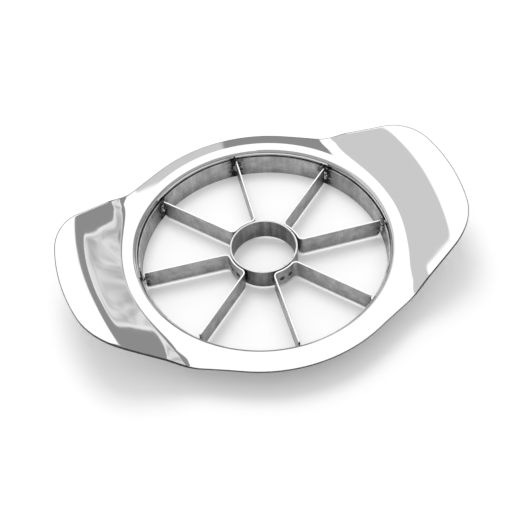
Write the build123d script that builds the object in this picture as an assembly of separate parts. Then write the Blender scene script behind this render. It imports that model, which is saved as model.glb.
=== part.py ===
from build123d import *
import os
from math import asin, atan2, cos, degrees, pi, radians, sin, sqrt

os.makedirs("parts", exist_ok=True)

# Sizes in millimetres. The slicer stands on the hoop's lower edge at z = 0, its axis is Z and
# its two wing handles point along +X and -X.

# Hoop: the deep band that carries the blades.
HOOP_DIAMETER = 89.6
HOOP_HEIGHT = 8.5
HOOP_WALL = 0.6

# Frame: one pressed sheet.
SHEET = 0.8
COLLAR_CLEARANCE = 0.3
COLLAR_OVERLAP = 3.0
WAIST_LIFT = 2.0
WAIST_WIDTH = 4.4
BEAD_ROLL = 1.8
BEAD_WIDTH = 4.4
BEAD_HEIGHT = 0.7
BEAD_LAP = 0.4
WING_REACH = 18.3
WING_SIDE_NORMAL = 63.5
WING_CORNER = 22.5
WING_RISE = 11.2
WING_FOOT_INSET = 1.9
WING_START_INSET = 14.6
WING_RUN_IN = 5.0
WING_RUN_OUT = 17.0

# Core ring: a rolled strip with a butt seam.
CORE_DIAMETER = 24.2
CORE_WALL = 0.7
CORE_LIFT = 1.0
CORE_PROUD = 0.8
CORE_BEVEL = 0.45
SEAM_GAP = 0.15
SEAM_ANGLE = 13.0

# Blade strips: each is a V-bent strip with two arms, and the first one's middle points this many
# degrees off +X. They were bent and set by hand, so each has its own turn off the even spacing, its
# own slip sideways and its own half angle between the arms.
FIRST_STRIP = 17.0
STRIP_TURNS = (1.0, -0.4, 0.7, 0.4)
STRIP_SLIPS = (-0.9, 0.0, 0.0, 0.0)
STRIP_HALF_ANGLES = (22.2, 22.3, 23.0, 21.1)
BLADE_THICKNESS = 0.6
BLADE_LIFT = 0.7
BLADE_PROUD = 0.6
BEND_RADIUS = 1.5
CORE_GAP = 0.35
ARM_END_GAP = 1.0
ARM_CORNER = 1.5
EDGE_BEVEL = 1.0
EDGE_FLAT = 0.15
TAB_HEIGHT = 3.0
TAB_PROUD = 0.1
SLIT_CLEARANCE = 0.1

# Weld metal.
SPOT_DIAMETER = 1.9
SPOT_SPACING = 3.4
SPOT_DIMPLE = 0.15
TAB_WELD_RADIUS = 0.9
HOOP_SPOT_MARGIN = 0.25

hoop_outer = HOOP_DIAMETER / 2
hoop_inner = hoop_outer - HOOP_WALL
core_outer = CORE_DIAMETER / 2
collar_inner = hoop_outer + COLLAR_CLEARANCE
waist_top = HOOP_HEIGHT + WAIST_LIFT
bead_edge = collar_inner + BEAD_WIDTH
waist_radius = bead_edge + WAIST_WIDTH
wing_end = waist_radius + WING_REACH
wing_foot = bead_edge - WING_FOOT_INSET
wing_start = bead_edge - WING_START_INSET
base_radius = core_outer + CORE_GAP + BLADE_THICKNESS / 2
arm_end = hoop_inner - ARM_END_GAP
tab_end = hoop_outer + TAB_PROUD
blade_height = HOOP_HEIGHT + BLADE_PROUD - BLADE_LIFT
core_height = HOOP_HEIGHT + CORE_PROUD - CORE_LIFT
tab_middle = BLADE_LIFT + blade_height / 2
strip_count = len(STRIP_TURNS)
arms = [(index, side) for index in range(strip_count) for side in (-1, 1)]


def on_circle(radius, angle):
    """A plan point at this radius and at this angle in degrees."""
    return radius * cos(radians(angle)), radius * sin(radians(angle))


def pie(radius, low, height):
    """An upright cylinder on the Z axis, between two heights."""
    return Pos(0, 0, low) * Cylinder(radius, height, align=(Align.CENTER, Align.CENTER, Align.MIN))


def mirrored(point, across, along):
    """The plan point with the sign of each coordinate kept (1) or turned over (-1)."""
    return point[0] * across, point[1] * along


def wing_rise(x, y):
    """How far the sheet's top lies above the flat waist."""
    beside = sqrt(max(wing_foot**2 - y**2, 0.0))
    start = (beside**8 + wing_start**8) ** (1 / 8)

    def lift(travel, length):
        run = max(travel, 0.0)
        rising = run**2 / (2 * WING_RUN_IN) if run < WING_RUN_IN else run - WING_RUN_IN / 2
        late = max(run - (length - WING_RUN_OUT), 0.0)
        return rising - late**2 / (2 * WING_RUN_OUT)

    length = wing_end - start
    return WING_RISE * lift(abs(x) - start, length) / lift(length, length)


def outline():
    """The frame's plan shape: a round waist, straight wing sides, rounded corners, bowed ends."""
    side = on_circle(1.0, WING_SIDE_NORMAL)
    along = (side[1], -side[0])
    inset = waist_radius - WING_CORNER
    reach = sqrt((wing_end - WING_CORNER) ** 2 - inset**2)
    centre = (inset * side[0] + reach * along[0], inset * side[1] + reach * along[1])
    on_side = (centre[0] + WING_CORNER * side[0], centre[1] + WING_CORNER * side[1])
    end_angle = degrees(atan2(centre[1], centre[0]))
    turn = WING_SIDE_NORMAL - end_angle
    middle = (
        centre[0] + WING_CORNER * cos(radians(end_angle + turn / 2)),
        centre[1] + WING_CORNER * sin(radians(end_angle + turn / 2)),
    )
    waist = on_circle(waist_radius, WING_SIDE_NORMAL)
    end = on_circle(wing_end, end_angle)

    edges = []
    for sx, sy in ((1, 1), (-1, 1), (-1, -1), (1, -1)):
        edges.append(ThreePointArc(*[mirrored(p, sx, sy) for p in (end, middle, on_side)]))
        edges.append(Line(mirrored(on_side, sx, sy), mirrored(waist, sx, sy)))
    for s in (1, -1):
        edges.append(ThreePointArc(mirrored(waist, 1, s), (0, s * waist_radius), mirrored(waist, -1, s)))
        edges.append(ThreePointArc(mirrored(end, s, 1), (s * wing_end, 0), mirrored(end, s, -1)))
    return make_face(Curve() + edges)


def sheet_point(x, y, depth):
    """The point this far under the sheet's top, square to it."""
    step = 0.05
    slope_x = (wing_rise(x + step, y) - wing_rise(x - step, y)) / (2 * step)
    slope_y = (wing_rise(x, y + step) - wing_rise(x, y - step)) / (2 * step)
    normal = Vector(-slope_x, -slope_y, 1).normalized()
    return Vector(x, y, waist_top + wing_rise(x, y)) - normal * depth


def below(depth, margin):
    """Everything under the surface that lies this far under the sheet's top."""
    columns = 76
    rows = 56
    grid = []
    for i in range(columns + 1):
        x = (wing_end + margin) * (2 * i / columns - 1)
        line = []
        for j in range(rows + 1):
            y = (waist_radius + margin) * (2 * j / rows - 1)
            line.append(sheet_point(x, y, depth))
        grid.append(line)
    face = Face.make_surface_from_array_of_points(grid, tol=0.005)
    return extrude(face, 3 * WING_RISE, dir=(0, 0, -1))


def sheet():
    """The waist and both wings, trimmed to the outline and open inside the bead."""
    low = HOOP_HEIGHT - SHEET
    high = waist_top + WING_RISE + SHEET
    trim = Pos(0, 0, low) * extrude(outline(), high - low)
    trim -= pie(bead_edge - BEAD_LAP / 4, low, high - low)
    return (trim & below(0, 5.0)) - below(SHEET, 8.0)


def bead():
    """The raised bead and the collar that hangs from it round the hoop."""
    crest = waist_top + BEAD_HEIGHT
    roll_x = collar_inner + BEAD_ROLL
    roll_z = crest - BEAD_ROLL
    span = bead_edge - roll_x
    slope_radius = (span**2 + BEAD_HEIGHT**2) / (2 * BEAD_HEIGHT)
    slope_z = crest - slope_radius

    def on_slope(x, radius):
        return x, slope_z + sqrt(radius**2 - (x - roll_x) ** 2)

    def on_roll(radius):
        return roll_x - radius * cos(pi / 4), roll_z + radius * sin(pi / 4)

    inner_roll = BEAD_ROLL - SHEET
    inner_slope = slope_radius - SHEET
    foot = HOOP_HEIGHT - COLLAR_OVERLAP
    lap = bead_edge + BEAD_LAP
    under = bead_edge - BEAD_LAP / 4
    half = (roll_x + under) / 2
    tip = on_slope(lap, slope_radius)
    edges = [
        Line((collar_inner, foot), (collar_inner, roll_z)),
        ThreePointArc((collar_inner, roll_z), on_roll(BEAD_ROLL), (roll_x, crest)),
        ThreePointArc((roll_x, crest), on_slope(half, slope_radius), tip),
        Line(tip, (tip[0], tip[1] - SHEET / 3)),
        Line((tip[0], tip[1] - SHEET / 3), on_slope(under, inner_slope)),
        ThreePointArc(on_slope(under, inner_slope), on_slope(half, inner_slope), (roll_x, crest - SHEET)),
        ThreePointArc((roll_x, crest - SHEET), on_roll(inner_roll), (collar_inner + SHEET, roll_z)),
        Line((collar_inner + SHEET, roll_z), (collar_inner + SHEET, foot)),
        Line((collar_inner + SHEET, foot), (collar_inner, foot)),
    ]
    return revolve(Plane.XZ * make_face(Curve() + edges), Axis.Z)


def frame():
    """The pressed sheet in one piece."""
    return sheet() + bead()


def strip_place(index):
    """Where a strip whose middle is on +X goes."""
    turn = FIRST_STRIP + 360 / strip_count * index + STRIP_TURNS[index]
    return Rot(0, 0, turn) * Pos(0, STRIP_SLIPS[index], 0)


def on_arm(index, side, radius):
    """Where an arm is this far from the axis, turned so that +X runs out along the arm."""
    angle = side * STRIP_HALF_ANGLES[index]
    slip = STRIP_SLIPS[index]
    along = sqrt(radius**2 - (slip * cos(radians(angle))) ** 2) - slip * sin(radians(angle))
    return strip_place(index) * Rot(0, 0, angle) * Pos(along, 0, 0)


def hoop():
    """The band, with a slit for each blade tab."""
    band = pie(hoop_outer, 0, HOOP_HEIGHT) - pie(hoop_inner, 0, HOOP_HEIGHT)
    width = BLADE_THICKNESS + 2 * SLIT_CLEARANCE
    height = TAB_HEIGHT + 2 * SLIT_CLEARANCE
    slit = Pos(0, 0, tab_middle) * Box(6 * HOOP_WALL, width, height)
    for index, side in arms:
        band -= on_arm(index, side, hoop_outer) * slit
    return band


def core_ring():
    """The rolled core cutter, sharpened outside along its lower edge."""
    tube = pie(core_outer, CORE_LIFT, core_height)
    tube = chamfer(tube.edges().group_by(Axis.Z)[0], CORE_BEVEL)
    tube -= pie(core_outer - CORE_WALL, CORE_LIFT, core_height)
    seam = Pos(core_outer, 0, CORE_LIFT) * Box(4 * CORE_WALL, SEAM_GAP, 4 * core_height)
    return tube - Rot(0, 0, SEAM_ANGLE) * seam


def strip_plan(half, half_width):
    """A blade strip seen from above, its middle on +X: two arms and the base round the core."""
    reach = 1.1 * tab_end
    bend = BEND_RADIUS + BLADE_THICKNESS / 2
    lean = degrees(asin(bend / (base_radius + bend)))
    arm_start = sqrt((base_radius + bend) ** 2 - bend**2)
    pivot = on_circle(base_radius + bend, half - lean)
    arm = on_circle(1.0, half)
    across = (-arm[1], arm[0])

    def side(offset):
        """One flank of the strip, from the lower arm's end to the upper arm's end."""
        shift = (across[0] * offset, across[1] * offset)
        outer = (arm[0] * reach + shift[0], arm[1] * reach + shift[1])
        inner = (arm[0] * arm_start + shift[0], arm[1] * arm_start + shift[1])
        round_radius = bend + offset
        base = on_circle(base_radius - offset, half - lean)
        turned = half + 90 + (90 - lean) / 2
        middle = (
            pivot[0] + round_radius * cos(radians(turned)),
            pivot[1] + round_radius * sin(radians(turned)),
        )
        low_outer, low_inner, low_middle, low_base = [
            mirrored(p, 1, -1) for p in (outer, inner, middle, base)
        ]
        flank = [
            Line(low_outer, low_inner),
            ThreePointArc(low_inner, low_middle, low_base),
            ThreePointArc(low_base, (base_radius - offset, 0), base),
            ThreePointArc(base, middle, inner),
            Line(inner, outer),
        ]
        return flank, low_outer, outer

    near, near_low, near_high = side(half_width)
    far, far_low, far_high = side(-half_width)
    caps = [Line(near_low, far_low), Line(near_high, far_high)]
    return make_face(Curve() + near + far + caps)


def end_trim():
    """What is cut from the arms' ends: all but the tabs, with the lower corners rounded."""
    far = 1.2 * tab_end
    low = BLADE_LIFT - ARM_CORNER
    tab_low = tab_middle - TAB_HEIGHT / 2
    tab_high = tab_middle + TAB_HEIGHT / 2
    below_tab = pie(far, low, tab_low - low) - pie(arm_end, low, tab_low - low)
    above_tab = pie(far, tab_high, blade_height) - pie(arm_end, tab_high, blade_height)
    beyond = pie(far, low, 2 * blade_height) - pie(tab_end, low, 2 * blade_height)
    corner_start = arm_end - ARM_CORNER
    corner = pie(far, low, 2 * ARM_CORNER) - pie(corner_start, low, 2 * ARM_CORNER)
    corner -= Pos(0, 0, BLADE_LIFT + ARM_CORNER) * Torus(corner_start, ARM_CORNER)
    return below_tab + above_tab + beyond + corner


def blade_strip(index):
    """One V-bent strip with a ground lower edge, two tabs and two spot-weld dimples."""
    half = STRIP_HALF_ANGLES[index]
    full = Pos(0, 0, BLADE_LIFT + EDGE_BEVEL) * strip_plan(half, BLADE_THICKNESS / 2)
    sharp = Pos(0, 0, BLADE_LIFT) * strip_plan(half, EDGE_FLAT / 2)
    strip = extrude(full, blade_height - EDGE_BEVEL) + loft([full, sharp], ruled=True)
    for spot in spots(base_radius + BLADE_THICKNESS / 2 - SPOT_DIMPLE, BLADE_THICKNESS):
        strip -= spot
    return (strip_place(index) * strip) - end_trim()


def disc(start, depth, height, diameter):
    """A round spot that faces +X, from this distance along X outward."""
    seat = (Align.CENTER, Align.CENTER, Align.MIN)
    return Pos(start, 0, height) * Rot(0, 90, 0) * Cylinder(diameter / 2, depth, align=seat)


def spots(start, depth):
    """The two spot positions on a strip whose middle is on +X."""
    swing = degrees(SPOT_SPACING / 2 / base_radius)
    spot = disc(start, depth, tab_middle, SPOT_DIAMETER)
    return [Rot(0, 0, turn) * spot for turn in (-swing, swing)]


def core_welds():
    """Nuggets that fill the gap between the core ring and each strip's base."""
    core = pie(core_outer, 0, waist_top)
    nuggets = []
    for index in range(strip_count):
        within = strip_place(index) * pie(core_outer + CORE_GAP, 0, waist_top)
        for spot in spots(core_outer - 3 * CORE_GAP, 6 * CORE_GAP):
            nuggets += ((strip_place(index) * spot & within) - core).solids()
    return Compound(nuggets)


def hoop_welds():
    """Nuggets between the hoop and the collar, one above each tab's slit."""
    slit_top = tab_middle + TAB_HEIGHT / 2 + SLIT_CLEARANCE
    room = HOOP_HEIGHT - slit_top
    gap = pie(collar_inner, 0, waist_top) - pie(hoop_outer, 0, waist_top)
    spot = disc(-COLLAR_CLEARANCE, 3 * COLLAR_CLEARANCE, slit_top + room / 2, room - 2 * HOOP_SPOT_MARGIN)
    nuggets = []
    for index, side in arms:
        nuggets += (on_arm(index, side, hoop_outer) * spot & gap).solids()
    return Compound(nuggets)


def tab_welds():
    """Beads of weld metal in the corners between each arm, its tab and the hoop."""
    inside = pie(hoop_inner, 0, waist_top)
    seat = Pos(0, 0, tab_middle)
    ball = seat * Sphere(TAB_WELD_RADIUS)
    ball -= seat * Box(4 * TAB_WELD_RADIUS, BLADE_THICKNESS, 4 * TAB_WELD_RADIUS)
    beads = []
    for index, side in arms:
        beads += (on_arm(index, side, hoop_inner) * ball & inside).solids()
    return Compound(beads)


def save(name, shape):
    """Write one node."""
    solids = shape.solids()
    export_step(solids[0] if len(solids) == 1 else Compound(solids), f"parts/{name}.step")


save("frame", frame())
save("hoop", hoop())
save("core_ring", core_ring())
for number in range(strip_count):
    save(f"blade_strip_{number + 1}", blade_strip(number))
save("core_welds", core_welds())
save("hoop_welds", hoop_welds())
save("tab_welds", tab_welds())
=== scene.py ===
from math import asin, atan2, cos, degrees, hypot, pi, radians, sin, sqrt

import bmesh
import bpy
from mathutils import Matrix, Vector, noise


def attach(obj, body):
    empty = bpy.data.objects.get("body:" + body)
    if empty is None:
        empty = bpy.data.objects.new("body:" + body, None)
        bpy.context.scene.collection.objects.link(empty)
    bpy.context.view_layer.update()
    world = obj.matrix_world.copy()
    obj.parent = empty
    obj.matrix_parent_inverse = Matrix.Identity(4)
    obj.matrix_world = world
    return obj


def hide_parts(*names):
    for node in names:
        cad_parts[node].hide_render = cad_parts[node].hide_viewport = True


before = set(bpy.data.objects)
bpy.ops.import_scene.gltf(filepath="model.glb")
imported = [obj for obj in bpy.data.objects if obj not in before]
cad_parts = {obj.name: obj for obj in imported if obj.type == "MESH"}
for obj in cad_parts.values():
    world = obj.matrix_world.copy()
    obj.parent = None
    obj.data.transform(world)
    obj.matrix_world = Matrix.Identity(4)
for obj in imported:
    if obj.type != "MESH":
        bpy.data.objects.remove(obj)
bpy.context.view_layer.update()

MM = 0.001

# Camera: a 78 mm lens 400 mm from the slicer, which looks steeply down on it from in front of its
# left handle. The slicer is turned under it by CAMERA_TURN, and the picture is rolled a little.
CAMERA_LENS = 78.52
CAMERA_DISTANCE = 400.0
CAMERA_ELEVATION = 51.275
CAMERA_TURN = 16.27
CAMERA_ROLL = -4.11
AIM = Vector((-1.669, -5.599, 8.5))


def look_from(elevation, turn, roll):
    """The camera's axes as a matrix, for a camera that looks at the slicer from its front."""
    forward = Vector((0, cos(radians(elevation)), -sin(radians(elevation))))
    right = Vector((1, 0, 0))
    up = right.cross(forward)
    axes = Matrix((right, up, -forward)).transposed().to_4x4()
    return Matrix.Rotation(radians(-turn), 4, "Z") @ axes @ Matrix.Rotation(radians(roll), 4, "Z")


camera = bpy.data.objects.new("camera", bpy.data.cameras.new("camera"))
camera_axes = look_from(CAMERA_ELEVATION, CAMERA_TURN, CAMERA_ROLL)
camera_aim = Matrix.Rotation(radians(-CAMERA_TURN), 4, "Z") @ AIM
camera_place = camera_aim + camera_axes.to_3x3() @ Vector((0, 0, CAMERA_DISTANCE))
camera.matrix_world = Matrix.Translation(camera_place * MM) @ camera_axes
camera.data.lens = CAMERA_LENS
camera.data.sensor_width = 36.0
camera.data.clip_start = 0.01
bpy.context.collection.objects.link(camera)
bpy.context.scene.camera = camera
bpy.context.scene.view_settings.view_transform = "Standard"

# Studio: a white tent over the slicer, as polished metal needs, with a white soft box behind it.
# The rest of the tent's wall is light grey on the left, dark grey on the right, where a crumpled
# white cloth hangs low down, and grey in front. All this shows in the mirror finish. Places in it
# are in degrees: the height above the table, and the swing rightwards from straight behind.
TENT_WHITE = 1.20
ROOF_HEIGHT = 61.0
ROOF_RIGHT_HEIGHT = 50.0
ROOF_RIGHT_FROM = 26.0
SOFT_BOX_HEIGHT = 29.0
SOFT_BOX_LEFT = -37.0
SOFT_BOX_RIGHT = 26.0
SOFT_BOX_LEAN = 1.4
SOFT_BOX_LEAN_FROM = 38.0
SOFT_BOX_LEAN_MOST = 10.0
WALL_LEFT = 0.68
WALL_RIGHT = 0.30
WALL_RIGHT_FROM = -5.0
WALL_FRONT = 0.42
WALL_FRONT_FROM = 100.0
WALL_FRONT_SOFT = 5.0
CLOTH_WHITE = 0.84
CLOTH_SHADE = 0.50
CLOTH_RIM = 0.96
CLOTH_RIM_WIDTH = 1.5
CLOTH_RIM_SOFT = 0.7
CLOTH_LEFT = 20.0
CLOTH_RIGHT = 44.0
CLOTH_FOOT = 12.0
CLOTH_SLANT = 1.2
CLOTH_RAGGED = 5.0
RAGS_SCALE = 5.0
CREASES_SCALE = 7.0
CREASES_TWIST = 1.6
CREASES_LOW = 0.40
CREASES_HIGH = 0.62
SHARP_EDGE = 0.4
SOFT_EDGE = 0.6


def add(tree, kind, sockets=None, **settings):
    """One node of this kind, with its settings, and its sockets set to values or fed by links."""
    node = tree.nodes.new(kind)
    for name, value in settings.items():
        setattr(node, name, value)
    for socket, source in (sockets or {}).items():
        if isinstance(source, bpy.types.NodeSocket):
            tree.links.new(source, node.inputs[socket])
        else:
            node.inputs[socket].default_value = source
    return node


world = bpy.data.worlds.new("studio")
bpy.context.scene.world = world
world.use_nodes = True
tent = world.node_tree
tent.nodes.clear()
direction = add(tent, "ShaderNodeTexCoord").outputs["Generated"]
turned = add(
    tent,
    "ShaderNodeMapping",
    {"Vector": direction, "Rotation": (0, 0, radians(CAMERA_TURN))},
    vector_type="VECTOR",
).outputs[0]
axes = add(tent, "ShaderNodeSeparateXYZ", {0: turned})
rags = add(tent, "ShaderNodeTexNoise", {"Vector": turned, "Scale": RAGS_SCALE, "Detail": 3.0})
creases = add(
    tent,
    "ShaderNodeTexNoise",
    {"Vector": turned, "Scale": CREASES_SCALE, "Detail": 2.0, "Distortion": CREASES_TWIST},
)
shaded_cloth = add(
    tent,
    "ShaderNodeMapRange",
    {
        "Value": creases.outputs["Fac"],
        "From Min": CREASES_LOW,
        "From Max": CREASES_HIGH,
        "To Min": CLOTH_SHADE,
        "To Max": CLOTH_WHITE,
    },
)

# The sums that turn a direction into places in the tent: result, kind, first and second number.
known = {
    "right": axes.outputs["X"],
    "back": axes.outputs["Y"],
    "up": axes.outputs["Z"],
    "rags": rags.outputs["Fac"],
}
for result, kind, first, second in (
    ("height", "ARCSINE", "up", 0.0),
    ("height", "MULTIPLY", "height", degrees(1)),
    ("swing", "ARCTAN2", "right", "back"),
    ("swing", "MULTIPLY", "swing", degrees(1)),
    ("left swing", "MULTIPLY", "swing", -1.0),
    ("swing either way", "ABSOLUTE", "swing", 0.0),
    ("lean", "SUBTRACT", "height", SOFT_BOX_LEAN_FROM),
    ("lean", "MAXIMUM", "lean", 0.0),
    ("lean", "MULTIPLY", "lean", SOFT_BOX_LEAN),
    ("lean", "MINIMUM", "lean", SOFT_BOX_LEAN_MOST),
    ("leaning swing", "ADD", "swing", "lean"),
    ("rags", "SUBTRACT", "rags", 0.5),
    ("rags", "MULTIPLY", "rags", 2 * CLOTH_RAGGED),
    ("ragged swing", "ADD", "swing", "rags"),
    ("hem", "SUBTRACT", "swing", CLOTH_LEFT),
    ("hem", "MULTIPLY", "hem", CLOTH_SLANT),
    ("hem", "ADD", "hem", CLOTH_FOOT),
    ("hem", "ADD", "hem", "rags"),
    ("below hem", "SUBTRACT", "hem", "height"),
    ("above hem", "MULTIPLY", "below hem", -1.0),
):
    sockets = {0: known.get(first, first), 1: known.get(second, second)}
    known[result] = add(tent, "ShaderNodeMath", sockets, operation=kind).outputs[0]

# The tent's parts, each laid over the ones before it: its brightness, and the sides that bound it,
# as what is measured, where the part begins, and how soft its border is.
cloth = (
    ("below hem", 0.0, SHARP_EDGE),
    ("ragged swing", CLOTH_LEFT, SHARP_EDGE),
    ("left swing", -CLOTH_RIGHT, SHARP_EDGE),
)
soft_box = (
    ("height", SOFT_BOX_HEIGHT, SOFT_EDGE),
    ("leaning swing", SOFT_BOX_LEFT, 2 * SOFT_EDGE),
    ("left swing", -SOFT_BOX_RIGHT, SOFT_EDGE),
)
seen = WALL_LEFT
for brightness, sides in (
    (WALL_RIGHT, [("swing", WALL_RIGHT_FROM, SHARP_EDGE)]),
    (WALL_FRONT, [("swing either way", WALL_FRONT_FROM, WALL_FRONT_SOFT)]),
    (shaded_cloth.outputs[0], cloth),
    (CLOTH_RIM, [*cloth, ("above hem", -CLOTH_RIM_WIDTH, CLOTH_RIM_SOFT)]),
    (TENT_WHITE, soft_box),
    (TENT_WHITE, [("height", ROOF_RIGHT_HEIGHT, SOFT_EDGE), ("swing", ROOF_RIGHT_FROM, SOFT_EDGE)]),
    (TENT_WHITE, [("height", ROOF_HEIGHT, SOFT_EDGE)]),
):
    cover = 1.0
    for place, start, softness in sides:
        side = add(
            tent,
            "ShaderNodeMapRange",
            {"Value": known[place], "From Min": start - softness, "From Max": start + softness},
            interpolation_type="SMOOTHSTEP",
        )
        both = {0: cover, 1: side.outputs[0]}
        cover = add(tent, "ShaderNodeMath", both, operation="MULTIPLY").outputs[0]
    seen = add(tent, "ShaderNodeMix", {0: cover, 2: seen, 3: brightness}).outputs[0]
camera_ray = add(tent, "ShaderNodeLightPath").outputs["Is Camera Ray"]
strength = add(tent, "ShaderNodeMix", {0: camera_ray, 2: seen, 3: 1.0}).outputs[0]
backdrop = add(tent, "ShaderNodeBackground", {"Color": (1, 1, 1, 1), "Strength": strength})
add(tent, "ShaderNodeOutputWorld", {"Surface": backdrop.outputs[0]})

# Floor: a matt white board. The camera sees it a little brighter than its own colour, so that it is
# white where nothing shades it, and the slicer's shadow stays.
FLOOR_SIZE = 6000.0
FLOOR_COLOUR = "#f0f0f0"
FLOOR_GLOW = 0.17


def linear(hex_colour):
    """An sRGB hex colour as the linear colour that a socket takes."""
    parts = [int(hex_colour[i : i + 2], 16) / 255 for i in (1, 3, 5)]
    parts = [p / 12.92 if p <= 0.04045 else ((p + 0.055) / 1.055) ** 2.4 for p in parts]
    return (*parts, 1.0)


floor_material = bpy.data.materials.new("white_board")
floor_material.use_nodes = True
tree = floor_material.node_tree
tree.nodes.clear()
board = add(tree, "ShaderNodeBsdfDiffuse", {"Color": linear(FLOOR_COLOUR)})
floor_ray = add(tree, "ShaderNodeLightPath").outputs["Is Camera Ray"]
glow = add(tree, "ShaderNodeMath", {0: floor_ray, 1: FLOOR_GLOW}, operation="MULTIPLY")
lit = add(tree, "ShaderNodeEmission", {"Color": (1, 1, 1, 1), "Strength": glow.outputs[0]})
glowing = add(tree, "ShaderNodeAddShader", {0: board.outputs[0], 1: lit.outputs[0]})
add(tree, "ShaderNodeOutputMaterial", {"Surface": glowing.outputs[0]})

bm = bmesh.new()
bmesh.ops.create_grid(bm, x_segments=1, y_segments=1, size=FLOOR_SIZE / 2 * MM)
floor = bpy.data.objects.new("floor", bpy.data.meshes.new("floor"))
bm.to_mesh(floor.data)
bm.free()
floor.data.materials.append(floor_material)
bpy.context.collection.objects.link(floor)

# Key light: a large soft box high behind the slicer, which throws its soft shadow forward.
KEY_SIZE = 500.0
KEY_PLACE = Vector((-120.0, 420.0, 900.0))
KEY_POWER = 3.0

key = bpy.data.objects.new("key_light", bpy.data.lights.new("key_light", "AREA"))
key.data.shape = "DISK"
key.data.size = KEY_SIZE * MM
key.data.energy = KEY_POWER
key_place = Matrix.Rotation(radians(-CAMERA_TURN), 4, "Z") @ KEY_PLACE
key_aim = key_place.to_track_quat("Z", "Y").to_matrix().to_4x4()
key.matrix_world = Matrix.Translation(key_place * MM) @ key_aim
key.visible_glossy = False
bpy.context.collection.objects.link(key)

# Frame: one blank of stainless sheet, pressed to a flat ring with a short collar inside and a waist
# that falls away outside, its two ears bent up as handles, and polished to a mirror all over.
SHEET = 0.8
COLLAR_INNER = 45.1
COLLAR_FOOT = 5.5
RING_ROLL = 1.8
RING_EDGE = 49.0
RING_TOP = 11.3
WAIST_RADIUS = 53.9
WAIST_FALL = 1.0
WING_END = 72.2
WING_START = 36.0
WING_FULL = 47.0
WING_SIDE_NORMAL = 63.5
WING_CORNER = 22.5
WING_RISE = 10.4
WING_RUN_IN = 1.0
WING_SIDE_RUN_IN = 12.0
WING_RUN_OUT = 13.2
EDGE_ROLL = 0.25
EDGE_DROP = 0.04
EDGE_ROUND = 0.2
FRAME_STEPS = 320
WAIST_RINGS = 44
RINGS_CROWDED = 1.3
FLAT_STEPS = 4
ROLL_STEPS = 14
NEAR = 0.01


def sheet_top(x, y):
    """The height of the sheet outside the ring: the waist falls away and the wings rise."""
    # The wing starts beside the ring or at WING_START, whichever is further out, with no corner.
    beside = sqrt(max(RING_EDGE**2 - y**2, 0.0))
    start = (beside**8 + WING_START**8) ** (1 / 8)
    run_in = WING_RUN_IN + WING_SIDE_RUN_IN * (abs(y) / RING_EDGE) ** 4

    def lift(travel, length):
        run = max(travel, 0.0)
        rising = run**2 / (2 * run_in) if run < run_in else run - run_in / 2
        late = max(run - (length - WING_RUN_OUT), 0.0)
        return rising - late**2 / (2 * WING_RUN_OUT)

    length = WING_END - start
    rise = WING_RISE * lift(abs(x) - start, length) / lift(length, length)
    share = min(max((abs(x) - WING_START) / (WING_FULL - WING_START), 0.0), 1.0)
    fall = WAIST_FALL * (x**2 + y**2 - RING_EDGE**2) / (WAIST_RADIUS**2 - RING_EDGE**2)
    return RING_TOP + rise - fall * (1 - share * share * (3 - 2 * share))


def outline_radius(angle):
    """How far the frame's edge lies from the axis: round waist, straight sides, rounded ears."""
    quarter = atan2(abs(sin(angle)), abs(cos(angle)))
    normal = radians(WING_SIDE_NORMAL)
    inset = WAIST_RADIUS - WING_CORNER
    reach = sqrt((WING_END - WING_CORNER) ** 2 - inset**2)
    corner_x = inset * cos(normal) + reach * sin(normal)
    corner_y = inset * sin(normal) - reach * cos(normal)
    corner_angle = atan2(corner_y, corner_x)
    side_angle = atan2(corner_y + WING_CORNER * sin(normal), corner_x + WING_CORNER * cos(normal))
    if quarter > normal:
        return WAIST_RADIUS
    if quarter > side_angle:
        return WAIST_RADIUS / cos(normal - quarter)
    if quarter < corner_angle:
        return WING_END
    along = corner_x * cos(quarter) + corner_y * sin(quarter)
    across = corner_x * sin(quarter) - corner_y * cos(quarter)
    return along + sqrt(WING_CORNER**2 - across**2)


def arc(centre, radius, start, end, steps):
    """Points on an arc in the upright plane, from one angle in degrees to another."""
    turns = [radians(start + (end - start) * i / steps) for i in range(steps + 1)]
    return [(centre[0] + radius * cos(t), centre[1] + radius * sin(t)) for t in turns]


def chain(bm, points):
    """A line of edges through these distances from the axis and heights."""
    verts = [bm.verts.new((r, 0, z)) for r, z in points]
    return verts + [bm.edges.new(pair) for pair in zip(verts, verts[1:])]


def make_piece(bm, name, material, slot, *nodes):
    """Turns a mesh in millimetres into a finished piece that stands for these nodes."""
    bmesh.ops.scale(bm, vec=(MM, MM, MM), verts=bm.verts)
    mesh = bpy.data.meshes.new(name)
    bm.to_mesh(mesh)
    bm.free()
    mesh.materials.append(material)
    mesh.shade_smooth()
    piece = bpy.data.objects.new(name, mesh)
    bpy.context.collection.objects.link(piece)
    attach(piece, "root")
    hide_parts(*nodes)
    return piece


def modifier(piece, kind, **settings):
    """A modifier with these settings."""
    made = piece.modifiers.new(kind.lower(), kind)
    for name, value in settings.items():
        setattr(made, name, value)


# Mirror-polished 18/10 stainless steel: buffed to a clean mirror, with the faint long waves that
# pressing leaves in thin sheet and a little haze from the buffing wheel.
POLISHED_COLOUR = "#eeeeee"
POLISHED_ROUGHNESS = 0.035
HAZE_ROUGHNESS = 0.075
HAZE_SCALE = 9.0
WAVE_SCALE = 14.0
WAVE_HEIGHT = 0.012

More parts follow.
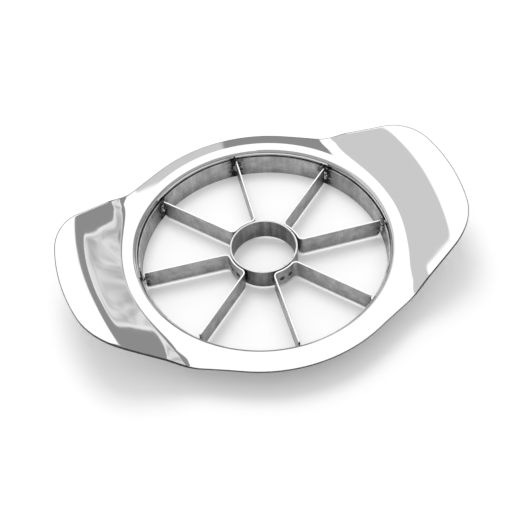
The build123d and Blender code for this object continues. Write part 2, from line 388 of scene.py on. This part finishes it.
polished = bpy.data.materials.new("mirror_polished_stainless")
polished.use_nodes = True
tree = polished.node_tree
tree.nodes.clear()
place = add(tree, "ShaderNodeTexCoord").outputs["Object"]
haze = add(
    tree,
    "ShaderNodeTexNoise",
    {"Vector": place, "Scale": 1 / (HAZE_SCALE * MM), "Detail": 3.0, "Roughness": 0.6},
)
gloss = add(
    tree,
    "ShaderNodeMapRange",
    {
        "Value": haze.outputs["Fac"],
        "From Min": 0.35,
        "From Max": 0.75,
        "To Min": POLISHED_ROUGHNESS,
        "To Max": HAZE_ROUGHNESS,
    },
)
waves = add(
    tree,
    "ShaderNodeTexNoise",
    {"Vector": place, "Scale": 1 / (WAVE_SCALE * MM), "Detail": 1.0},
)
ripple = add(
    tree,
    "ShaderNodeBump",
    {"Height": waves.outputs["Fac"], "Distance": WAVE_HEIGHT * MM, "Strength": 1.0},
)
steel = add(
    tree,
    "ShaderNodeBsdfPrincipled",
    {
        "Base Color": linear(POLISHED_COLOUR),
        "Metallic": 1.0,
        "Roughness": gloss.outputs[0],
        "Normal": ripple.outputs[0],
    },
)
add(tree, "ShaderNodeOutputMaterial", {"Surface": steel.outputs[0]})

# The blanking die leaves the sheet's cut edge, and the roll over its top corner, rough and scored;
# their near-black colour is painted shade.
SHEARED_DARK_SHADE = "#343434"
SHEARED_LIGHT_SHADE = "#585858"
SHEARED_ROUGHNESS = 0.35
SCORE_SIZE = 0.8

sheared_and_shaded = bpy.data.materials.new("sheared_edge_painted_shade")
sheared_and_shaded.use_nodes = True
tree = sheared_and_shaded.node_tree
tree.nodes.clear()
place = add(tree, "ShaderNodeTexCoord").outputs["Object"]
scores = add(
    tree,
    "ShaderNodeTexNoise",
    {"Vector": place, "Scale": 1 / (SCORE_SIZE * MM), "Detail": 2.0},
)
scored_and_shaded = add(tree, "ShaderNodeValToRGB", {"Fac": scores.outputs["Fac"]})
scored_and_shaded.color_ramp.elements[0].position = 0.35
scored_and_shaded.color_ramp.elements[0].color = linear(SHEARED_DARK_SHADE)
scored_and_shaded.color_ramp.elements[1].position = 0.65
scored_and_shaded.color_ramp.elements[1].color = linear(SHEARED_LIGHT_SHADE)
steel = add(
    tree,
    "ShaderNodeBsdfPrincipled",
    {"Base Color": scored_and_shaded.outputs["Color"], "Metallic": 1.0, "Roughness": SHEARED_ROUGHNESS},
)
add(tree, "ShaderNodeOutputMaterial", {"Surface": steel.outputs[0]})

roll_centre = (COLLAR_INNER + RING_ROLL, RING_TOP - RING_ROLL)
collar_step = (roll_centre[1] - COLLAR_FOOT) / FLAT_STEPS
ring_step = (RING_EDGE - roll_centre[0]) / FLAT_STEPS
profile = [(COLLAR_INNER, COLLAR_FOOT + i * collar_step) for i in range(FLAT_STEPS)]
profile += arc(roll_centre, RING_ROLL, 180, 90, ROLL_STEPS)
profile += [(roll_centre[0] + i * ring_step, RING_TOP) for i in range(1, FLAT_STEPS + 1)]

bm = bmesh.new()
bmesh.ops.spin(
    bm,
    geom=chain(bm, profile),
    cent=(0, 0, 0),
    axis=(0, 0, 1),
    angle=2 * pi,
    steps=FRAME_STEPS,
    use_merge=True,
)
rim = [e for e in bm.edges if all(hypot(*v.co.xy) > RING_EDGE - NEAR for v in e.verts)]
for ring in range(1, WAIST_RINGS + 2):
    last = ring > WAIST_RINGS
    share = min(ring / WAIST_RINGS, 1.0) ** RINGS_CROWDED
    grown = bmesh.ops.extrude_edge_only(bm, edges=rim)["geom"]
    rim = [g for g in grown if isinstance(g, bmesh.types.BMEdge)]
    for vert in {v for e in rim for v in e.verts}:
        turn = atan2(vert.co.y, vert.co.x)
        edge = outline_radius(turn)
        radius = edge if last else RING_EDGE + share * (edge - EDGE_ROLL - RING_EDGE)
        x, y = radius * cos(turn), radius * sin(turn)
        vert.co = (x, y, sheet_top(x, y) - (EDGE_DROP if last else 0.0))
# The last narrow band at the edge takes the sheared steel, near black for painted shade.
for face in {f for e in rim for f in e.link_faces}:
    face.material_index = 1
bmesh.ops.recalc_face_normals(bm, faces=bm.faces)
if sum(f.normal.z * f.calc_area() for f in bm.faces) < 0:
    bmesh.ops.reverse_faces(bm, faces=bm.faces)
pressed_frame = make_piece(bm, "pressed_frame", polished, "polished_steel", "frame")
# The cut edge and the rounded corners take the sheared steel, near black for painted shade.
pressed_frame.data.materials.append(sheared_and_shaded)
modifier(pressed_frame, "SOLIDIFY", thickness=SHEET * MM, offset=-1.0, material_offset_rim=1)
modifier(
    pressed_frame,
    "BEVEL",
    material=1,
    width=EDGE_ROUND * MM,
    segments=2,
    limit_method="ANGLE",
    angle_limit=radians(50),
    harden_normals=True,
)

# Hoop: a band of 0.6 mm stainless strip, rolled and butt-welded, spot-welded inside the collar. The
# eight blade tabs pass through slits in it, and the weld heat has scorched it there.
HOOP_OUTER = 44.8
HOOP_WALL = 0.6
HOOP_HEIGHT = 8.5
HOOP_EDGE = 0.12
HOOP_STEPS = 360
HOOP_ROWS = (0.0, 0.9, 1.8, 2.6, 4.1, 5.7, 7.4)
TAB_MIDDLE = 4.9
TAB_HEIGHT = 3.0
SLIT_CLEARANCE = 0.1
BLADE_THICKNESS = 0.6
FIRST_STRIP = 17.0
STRIP_TURNS = (1.0, -0.4, 0.7, 0.4)
STRIP_SLIPS = (-0.9, 0.0, 0.0, 0.0)
STRIP_HALF_ANGLES = (22.2, 22.3, 23.0, 21.1)
HEAT_REACH = 4.5
HEAT_FADE = 1.5
ARM_HEATS = (0.6, 1.0, 0.85, 0.85, 1.0, 0.45, 0.45, 0.35)


def strip_place(index):
    """Where a strip whose middle is on +X goes: each was set by hand, a little off its place."""
    turn = FIRST_STRIP + 90 * index + STRIP_TURNS[index]
    return Matrix.Rotation(radians(turn), 4, "Z") @ Matrix.Translation((0, STRIP_SLIPS[index], 0))


def arm_reach(index, side, radius):
    """How far along its own line an arm reaches this distance from the axis."""
    lean = radians(side * STRIP_HALF_ANGLES[index])
    slip = STRIP_SLIPS[index]
    return sqrt(radius**2 - (slip * cos(lean)) ** 2) - slip * sin(lean)


def arm_place(index, side, radius):
    """Where an arm is this far from the axis, turned so that +X runs out along the arm."""
    lean = Matrix.Rotation(radians(side * STRIP_HALF_ANGLES[index]), 4, "Z")
    return strip_place(index) @ lean @ Matrix.Translation((arm_reach(index, side, radius), 0, 0))


arms = [(index, side) for index in range(4) for side in (-1, 1)]
arm_ends = [arm_place(index, side, HOOP_OUTER).translation for index, side in arms]


def heat_at(point):
    """How strongly the weld heat has coloured this point, from 0 to 1."""
    away = [hypot(point.x - end.x, point.y - end.y) / HEAT_REACH for end in arm_ends]
    return max(max(0.0, 1 - far) ** HEAT_FADE * heat for far, heat in zip(away, ARM_HEATS))


def paint_heat(piece):
    """Stores the heat colouring on the piece's points, for its material."""
    layer = piece.data.attributes.new("weld_heat", "FLOAT", "POINT")
    for vert in piece.data.vertices:
        layer.data[vert.index].value = heat_at(vert.co / MM)


# Rolled stainless strip, as it comes from the mill: satin and grained, with cloudy patches, small
# pits and faint bands across it. Welding has scorched it in patches round each arm's end. Its real
# grain is finer, and is drawn as coarse as it needs to be to show.
CLOUD_GRAINS = 11.0
CLOUD_SHARE = 0.45
PIT_GRAINS = 2.1
PIT_SHADE = 0.25
BAND_WIDTH = 1.8
BAND_FLATTENED = 0.08
SCORCH_SIZE = 1.1
SCORCH_LEAST = 0.5
SCORCH_MOST = 3.2
SCORCH_COLOUR = "#221f1d"
GRAIN_DEPTH = 0.02


def strip_steel(name, colour, roughness, grain, contrast, scorched=0.0, banding=0.0):
    """Rolled strip with this grain size in millimetres, and this much of each kind of marking."""
    material = bpy.data.materials.new(name)
    material.use_nodes = True
    tree = material.node_tree
    tree.nodes.clear()
    place = add(tree, "ShaderNodeTexCoord").outputs["Object"]
    flattened = add(tree, "ShaderNodeMapping", {"Vector": place, "Scale": (1, 1, BAND_FLATTENED)})
    # Each pattern: where it is read, its size in millimetres, its detail and its roughness.
    pattern = {}
    for kind, vector, size, detail, rough in (
        ("grit", place, grain, 2.0, 0.7),
        ("clouds", place, CLOUD_GRAINS * grain, 3.0, 0.5),
        ("pits", place, PIT_GRAINS * grain, 1.0, 0.5),
        ("bands", flattened.outputs[0], BAND_WIDTH, 2.0, 0.5),
        ("scorch", place, SCORCH_SIZE, 3.0, 0.5),
    ):
        sockets = {"Vector": vector, "Scale": 1 / (size * MM), "Detail": detail, "Roughness": rough}
        pattern[kind] = add(tree, "ShaderNodeTexNoise", sockets).outputs["Fac"]
    cloudy = {0: CLOUD_SHARE, 2: pattern["grit"], 3: pattern["clouds"]}
    mottle = add(tree, "ShaderNodeMix", cloudy).outputs[0]
    # Each marking: its pattern, the range of it that counts, and the shades at the range's ends.
    shade = 1.0
    for value, low, high, to_low, to_high in (
        (mottle, 0.36, 0.64, 1 - contrast, 1 + contrast),
        (pattern["pits"], 0.735, 0.76, 1.0, PIT_SHADE),
        (pattern["bands"], 0.38, 0.62, 1 - banding, 1 + banding / 2),
    ):
        sockets = {0: value, 1: low, 2: high, 3: to_low, 4: to_high}
        marking = add(tree, "ShaderNodeMapRange", sockets).outputs[0]
        shade = add(tree, "ShaderNodeMath", {0: shade, 1: marking}, operation="MULTIPLY").outputs[0]
    grey = add(
        tree,
        "ShaderNodeVectorMath",
        {0: linear(colour)[:3], "Scale": shade},
        operation="SCALE",
    )
    heat = add(tree, "ShaderNodeAttribute", attribute_name="weld_heat").outputs["Fac"]
    patches = add(
        tree,
        "ShaderNodeMapRange",
        {
            "Value": pattern["scorch"],
            "From Min": 0.35,
            "From Max": 0.6,
            "To Min": SCORCH_LEAST,
            "To Max": SCORCH_MOST,
        },
    )
    patchy = add(tree, "ShaderNodeMath", {0: heat, 1: patches.outputs[0]}, operation="MULTIPLY")
    tint = add(tree, "ShaderNodeMapRange", {"Value": patchy.outputs[0], "To Max": scorched})
    tinted = add(
        tree,
        "ShaderNodeMix",
        {0: tint.outputs[0], 6: grey.outputs[0], 7: linear(SCORCH_COLOUR)},
        data_type="RGBA",
    )
    relief = add(
        tree,
        "ShaderNodeBump",
        {"Height": pattern["grit"], "Distance": GRAIN_DEPTH * MM, "Strength": 0.6},
    )
    steel = add(
        tree,
        "ShaderNodeBsdfPrincipled",
        {
            "Base Color": tinted.outputs[2],
            "Metallic": 1.0,
            "Roughness": roughness,
            "Normal": relief.outputs[0],
        },
    )
    add(tree, "ShaderNodeOutputMaterial", {"Surface": steel.outputs[0]})
    return material


hoop_steel = strip_steel(
    "satin_stainless_strip",
    "#bababa",
    roughness=0.38,
    grain=0.35,
    contrast=0.32,
    scorched=0.95,
    banding=0.12,
)

slit_low = TAB_MIDDLE - TAB_HEIGHT / 2 - SLIT_CLEARANCE
slit_high = TAB_MIDDLE + TAB_HEIGHT / 2 + SLIT_CLEARANCE
slit_half = BLADE_THICKNESS / 2 + SLIT_CLEARANCE
rows = sorted([*HOOP_ROWS, slit_low, TAB_MIDDLE, slit_high, HOOP_HEIGHT])
bm = bmesh.new()
bmesh.ops.spin(
    bm,
    geom=chain(bm, [(HOOP_OUTER, z) for z in rows]),
    cent=(0, 0, 0),
    axis=(0, 0, 1),
    angle=2 * pi,
    steps=HOOP_STEPS,
    use_merge=True,
)
station = 2 * pi / HOOP_STEPS
slits = []
for end in arm_ends:
    middle = atan2(end.y, end.x) % (2 * pi)
    half = slit_half / HOOP_OUTER
    first, last = round((middle - half) / station), round((middle + half) / station)
    last = max(last, first + 1)
    slits.append((first, last, middle - half, middle + half))
for vert in bm.verts:
    number = round((atan2(vert.co.y, vert.co.x) % (2 * pi)) / station)
    for first, last, low, high in slits:
        if number in (first, last):
            turn = low if number == first else high
            vert.co.x, vert.co.y = HOOP_OUTER * cos(turn), HOOP_OUTER * sin(turn)


def in_slit(face):
    """Whether this face of the band lies in one of the slits."""
    centre = face.calc_center_median()
    turn = atan2(centre.y, centre.x) % (2 * pi)
    across = any(low < turn < high for _, _, low, high in slits)
    return across and slit_low < centre.z < slit_high


bmesh.ops.delete(bm, geom=[f for f in bm.faces if in_slit(f)], context="FACES")
bmesh.ops.recalc_face_normals(bm, faces=bm.faces)
facing = bm.faces[:][0]
if facing.normal.dot(facing.calc_center_median()) < 0:
    bmesh.ops.reverse_faces(bm, faces=bm.faces)
blade_hoop = make_piece(bm, "blade_hoop", hoop_steel, "satin_steel", "hoop")
paint_heat(blade_hoop)
modifier(blade_hoop, "SOLIDIFY", thickness=HOOP_WALL * MM, offset=-1.0)
modifier(
    blade_hoop,
    "BEVEL",
    width=HOOP_EDGE * MM,
    segments=2,
    limit_method="ANGLE",
    angle_limit=radians(50),
    harden_normals=True,
)

# Core ring: satin stainless strip rolled to a tube with a butt seam, ground sharp outside along its
# lower edge, where it cuts out the apple's core, and turned on top. Its steel is drawn darker than
# the blades' for painted shade in the tube, and its top lighter for a painted highlight.
CORE_OUTER = 12.1
CORE_WALL = 0.7
CORE_LOW = 1.0
CORE_HIGH = 9.3
CORE_BEVEL = 0.45
CORE_EDGE = 0.1
CORE_STEPS = 144
SEAM_GAP = 0.15
SEAM_ANGLE = 13.0

shaded_core_steel = strip_steel(
    "rolled_core_painted_shade",
    "#8a8a8a",
    roughness=0.24,
    grain=0.4,
    contrast=0.34,
    banding=0.30,
)
highlit_rim_steel = strip_steel(
    "turned_rim_painted_highlight",
    "#dedede",
    roughness=0.24,
    grain=0.5,
    contrast=0.08,
)

section = [
    (CORE_OUTER - CORE_BEVEL, CORE_LOW),
    (CORE_OUTER, CORE_LOW + CORE_BEVEL),
    (CORE_OUTER, CORE_HIGH - CORE_EDGE),
    (CORE_OUTER - CORE_EDGE, CORE_HIGH),
    (CORE_OUTER - CORE_WALL + CORE_EDGE, CORE_HIGH),
    (CORE_OUTER - CORE_WALL, CORE_HIGH - CORE_EDGE),
    (CORE_OUTER - CORE_WALL, CORE_LOW),
]
seam = SEAM_GAP / CORE_OUTER
bm = bmesh.new()
end_face = bm.faces.new([bm.verts.new((r, 0, z)) for r, z in section])
bmesh.ops.rotate(
    bm,
    cent=(0, 0, 0),
    matrix=Matrix.Rotation(radians(SEAM_ANGLE) + seam / 2, 3, "Z"),
    verts=bm.verts,
)
bmesh.ops.spin(
    bm,
    geom=[end_face, *end_face.edges, *end_face.verts],
    cent=(0, 0, 0),
    axis=(0, 0, 1),
    angle=2 * pi - seam,
    steps=CORE_STEPS,
)
bmesh.ops.recalc_face_normals(bm, faces=bm.faces)
# The top faces take the lighter steel: a painted highlight.
for face in bm.faces:
    face.material_index = 1 if face.calc_center_median().z > CORE_HIGH - CORE_EDGE else 0
core = make_piece(bm, "core_cutter", shaded_core_steel, "satin_steel", "core_ring")
core.data.materials.append(highlit_rim_steel)
core.data.set_sharp_from_angle(angle=radians(35))

# Blade strips: four V-bent strips of satin stainless, each with two slicing arms and a base that
# hugs the core ring. Their lower edges are ground to a blunt bevel, and two spot welds dimple each
# base. The bevel and the rounded top edge are drawn near white: a painted highlight.
BLADE_LOW = 0.7
BLADE_HIGH = 9.1
BASE_RADIUS = 12.75
BEND_RADIUS = 1.8
ARM_END = 43.2
ARM_CORNER = 1.5
TAB_END = 44.9
EDGE_BEVEL = 1.0
EDGE_FLAT = 0.15
TOP_ROUND = 0.08
SPOT_RADIUS = 0.95
SPOT_SPACING = 3.4
SPOT_DIMPLE = 0.15
DENT_REACH = 1.05
DENT_SLOPE = 0.35
DENT_SCORCHED = 0.3
DENT_SPREAD = 1.2
DENT_ROWS = 16
FLANK_ROWS = (2.5, 7.6)
BEVEL_LIFT = 0.6
BEVEL_MARGIN = 0.05
ARM_STEPS = 14
CORNER_STEPS = 6
BEND_STEPS = 12
BASE_STEPS = 48

blade_steel = strip_steel(
    "rolled_stainless_blade",
    "#b2b2b2",
    roughness=0.34,
    grain=0.3,
    contrast=0.40,
    scorched=0.95,
)
# Near white, brighter than the blade's own steel: a painted highlight on the ground bevel and top
# edge.
ground_and_highlit_steel = strip_steel(
    "ground_edge_painted_highlight",
    "#fafafa",
    roughness=0.22,
    grain=0.5,
    contrast=0.06,
    scorched=0.4,
)
spot_metal = strip_steel(
    "scorched_spot_weld",
    "#4a4a4a",
    roughness=0.30,
    grain=0.25,
    contrast=0.5,
)

bend_lean = asin(BEND_RADIUS / (BASE_RADIUS + BEND_RADIUS))
arm_start = sqrt((BASE_RADIUS + BEND_RADIUS) ** 2 - BEND_RADIUS**2)


def blade_section():
    """The strip's section: distance across and height, round the outline."""
    half = BLADE_THICKNESS / 2
    tab_rows = [TAB_MIDDLE + s * TAB_HEIGHT / 2 for s in (-1, 1)]
    spread = DENT_SPREAD * SPOT_RADIUS
    dent_rows = [TAB_MIDDLE + spread * (2 * i / DENT_ROWS - 1) for i in range(DENT_ROWS + 1)]
    heights = sorted([*FLANK_ROWS, *tab_rows, *dent_rows])
    left = [(-half, z) for z in heights]
    right = [(half, z) for z in reversed(heights)]
    ground = BLADE_LOW + EDGE_BEVEL
    return [
        (-EDGE_FLAT / 2, BLADE_LOW),
        (-half, ground),
        *left,
        (-half, BLADE_HIGH - TOP_ROUND),
        (-half + TOP_ROUND, BLADE_HIGH),
        (half - TOP_ROUND, BLADE_HIGH),
        (half, BLADE_HIGH - TOP_ROUND),
        *right,
        (half, ground),
        (EDGE_FLAT / 2, BLADE_LOW),
    ]


def swept(bm, face, move):
    """The section carried on by one step, and the face at its new end."""
    grown = bmesh.ops.extrude_face_region(bm, geom=[face, *face.edges])["geom"]
    end = next(g for g in grown if isinstance(g, bmesh.types.BMFace))
    bmesh.ops.transform(bm, matrix=move, verts=end.verts)
    return end


def turn_about(point, angle):
    """A turn about an upright axis through this point."""
    there = Matrix.Translation(point)
    return there @ Matrix.Rotation(angle, 4, "Z") @ there.inverted()


def arm_steps(reach):
    """The steps from an arm's end to its bend: short ones at the round corner, then equal ones."""
    turns = [radians(90 * i / CORNER_STEPS) for i in range(CORNER_STEPS + 1)]
    corner = [ARM_CORNER * (cos(a) - cos(b)) for a, b in zip(turns, turns[1:])]
    return corner + [(reach - arm_start - ARM_CORNER) / ARM_STEPS] * ARM_STEPS


def bent_strip(outward, reach, base_angle):
    """The section swept from one arm's end, round both bends and the base, to the other's."""
    pivots = [
        Vector((cos(s * base_angle), sin(s * base_angle), 0)) * (BASE_RADIUS + BEND_RADIUS)
        for s in (1, -1)
    ]
    bend = (pi / 2 - bend_lean) / BEND_STEPS
    moves = [Matrix.Translation(-outward[0] * step) for step in arm_steps(reach[0])]
    moves += [turn_about(pivots[0], bend)] * BEND_STEPS
    moves += [Matrix.Rotation(-2 * base_angle / BASE_STEPS, 4, "Z")] * BASE_STEPS
    moves += [turn_about(pivots[1], bend)] * BEND_STEPS
    moves += [Matrix.Translation(outward[1] * step) for step in reversed(arm_steps(reach[1]))]
    bm = bmesh.new()
    start = outward[0] * reach[0]
    across = Vector((-outward[0].y, outward[0].x, 0))
    ring = [bm.verts.new(start + across * a + Vector((0, 0, z))) for a, z in blade_section()]
    face = bm.faces.new(ring)
    for move in moves:
        face = swept(bm, face, move)
    bmesh.ops.recalc_face_normals(bm, faces=bm.faces)
    return bm


def round_corner(vert, outward, reach):
    """Lifts a point of the ground edge near the arm's end, where the edge's corner is round."""
    short = ARM_CORNER - (reach - vert.co.dot(outward))
    if short > 0 and vert.co.z < BLADE_LOW + EDGE_BEVEL + NEAR:
        lifted = ARM_CORNER - sqrt(max(ARM_CORNER**2 - short**2, 0.0))
        vert.co.z += lifted * (1 if vert.co.z < BLADE_LOW + NEAR else BEVEL_LIFT)


def dent_at(vert, base_angle):
    """How deep a spot weld has dimpled the base's outer side at this point, from 0 to 1."""
    radius = hypot(vert.co.x, vert.co.y)
    turn = abs(atan2(vert.co.y, vert.co.x))
    if abs(radius - BASE_RADIUS - BLADE_THICKNESS / 2) >= NEAR or turn >= base_angle:
        return 0.0
    off = (turn - SPOT_SPACING / 2 / BASE_RADIUS) * radius
    distance = hypot(off, vert.co.z - TAB_MIDDLE)
    return min(max((DENT_REACH - distance / SPOT_RADIUS) / DENT_SLOPE, 0.0), 1.0)


def end_faces(bm, end, outward):
    """The faces that lie in the plane of the arm's end."""
    facing = [f for f in bm.faces if abs(f.normal.dot(outward)) > 0.99]
    return [f for f in facing if abs((f.calc_center_median() - end).dot(outward)) < NEAR]


def add_tab(bm, end, outward):
    """The tab on the arm's end face, as high as the slit and long enough to pass through it."""
    for height in (TAB_MIDDLE - TAB_HEIGHT / 2, TAB_MIDDLE + TAB_HEIGHT / 2):
        for face in end_faces(bm, end, outward):
            level = [v for v in face.verts if abs(v.co.z - height) < NEAR]
            if len(level) == 2:
                bmesh.utils.face_split(face, *level)
        bm.normal_update()
    faces = end_faces(bm, end, outward)
    tab = min(faces, key=lambda f: abs(f.calc_center_median().z - TAB_MIDDLE))
    swept(bm, tab, Matrix.Translation(outward * (TAB_END - ARM_END)))


for index in range(4):
    half_angle = radians(STRIP_HALF_ANGLES[index])
    base_angle = half_angle - bend_lean
    outward = [Vector((cos(s * half_angle), sin(s * half_angle), 0)) for s in (1, -1)]
    reach = [arm_reach(index, s, ARM_END) for s in (1, -1)]
    bm = bent_strip(outward, reach, base_angle)
    dents = set()
    for vert in bm.verts:
        for arm_outward, length in zip(outward, reach):
            round_corner(vert, arm_outward, length)
        dent = dent_at(vert, base_angle)
        if dent > DENT_SCORCHED:
            dents.update(vert.link_faces)
        inward = SPOT_DIMPLE * dent * dent * (3 - 2 * dent)
        turn = atan2(vert.co.y, vert.co.x)
        vert.co.x -= inward * cos(turn)
        vert.co.y -= inward * sin(turn)
    for arm_outward, length in zip(outward, reach):
        add_tab(bm, arm_outward * length, arm_outward)
    bmesh.ops.recalc_face_normals(bm, faces=bm.faces)
    bmesh.ops.transform(bm, matrix=strip_place(index), verts=bm.verts)
    # The ground bevel and the rounded top edge take the near-white steel: a painted highlight.
    for face in bm.faces:
        middle = face.calc_center_median().z
        ground = middle < BLADE_LOW + EDGE_BEVEL - BEVEL_MARGIN
        face.material_index = 1 if ground or middle > BLADE_HIGH - TOP_ROUND else 0
    for face in dents:
        face.material_index = 2
    name = f"blade_strip_{index + 1}"
    blade = make_piece(bm, f"slicing_{name}", blade_steel, "blade_steel", name)
    blade.data.materials.append(ground_and_highlit_steel)
    blade.data.materials.append(spot_metal)
    blade.data.set_sharp_from_angle(angle=radians(32))
    paint_heat(blade)

# Weld metal: the beads that hold each blade tab in its slit, one on each side, and the spot-weld
# nuggets behind the bases and between hoop and collar. It was once molten, so it is rough, pitted
# and burnt black in places; in others its colour is near white, a painted highlight.
BEAD_HALF_HEIGHT = 1.7
BEAD_REACH = 1.15
BEAD_DEPTH = 0.9
BEAD_ROUGH = 0.30
BEAD_LUMPS = 2.1
BEAD_GRAINS = 5.3
BEAD_COLD_SIZE = 0.7
BEAD_HEAT_GROWTH = 0.4
WELD_BURNT = "#161412"
WELD_PAINTED_HIGHLIGHT = "#efefee"
WELD_BURNT_UNDER = 0.44
WELD_PAINTED_HIGHLIGHT_OVER = 0.53
WELD_ROUGHNESS = 0.38
WELD_PATCH = 1.1
WELD_PIT_DEPTH = 0.15

weld = bpy.data.materials.new("burnt_weld_painted_highlights")
weld.use_nodes = True
tree = weld.node_tree
tree.nodes.clear()
place = add(tree, "ShaderNodeTexCoord").outputs["Object"]
patches = add(
    tree,
    "ShaderNodeTexNoise",
    {"Vector": place, "Scale": 1 / (WELD_PATCH * MM), "Detail": 3.0, "Roughness": 0.7},
).outputs["Fac"]
# From burnt black to near white: the near-white patches are painted highlights.
burnt_and_highlit = add(tree, "ShaderNodeValToRGB", {"Fac": patches})
burnt_and_highlit.color_ramp.elements[0].position = WELD_BURNT_UNDER
burnt_and_highlit.color_ramp.elements[0].color = linear(WELD_BURNT)
burnt_and_highlit.color_ramp.elements[1].position = WELD_PAINTED_HIGHLIGHT_OVER
burnt_and_highlit.color_ramp.elements[1].color = linear(WELD_PAINTED_HIGHLIGHT)
pits = add(
    tree,
    "ShaderNodeBump",
    {"Height": patches, "Distance": WELD_PIT_DEPTH * MM, "Strength": 0.8},
)
steel = add(
    tree,
    "ShaderNodeBsdfPrincipled",
    {
        "Base Color": burnt_and_highlit.outputs["Color"],
        "Metallic": 0.9,
        "Roughness": WELD_ROUGHNESS,
        "Normal": pits.outputs[0],
    },
)
add(tree, "ShaderNodeOutputMaterial", {"Surface": steel.outputs[0]})

bm = bmesh.new()
for number, (index, side) in enumerate(arms):
    place = arm_place(index, side, HOOP_OUTER - HOOP_WALL)
    size = BEAD_COLD_SIZE + BEAD_HEAT_GROWTH * ARM_HEATS[number]
    for flank in (-1, 1):
        seed = Vector((number * 3.7, flank * 5.1, 0))
        middle = Vector((0, flank * BLADE_THICKNESS / 2, TAB_MIDDLE))
        bead = bmesh.ops.create_icosphere(bm, subdivisions=3, radius=1.0)
        for vert in bead["verts"]:
            lumps = noise.noise(vert.co * BEAD_LUMPS + seed)
            lumps += 0.5 * noise.noise(vert.co * BEAD_GRAINS + seed)
            swell = size * (1 + BEAD_ROUGH * lumps)
            x, y, z = vert.co * swell
            shaped = Vector((x * BEAD_REACH, y * BEAD_DEPTH, z * BEAD_HALF_HEIGHT))
            vert.co = place @ (shaped + middle)
make_piece(bm, "weld_beads", weld, "weld_metal", "tab_welds")
for name in ("core_welds", "hoop_welds"):
    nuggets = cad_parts[name]
    nuggets.data.materials.clear()
    nuggets.data.materials.append(weld)
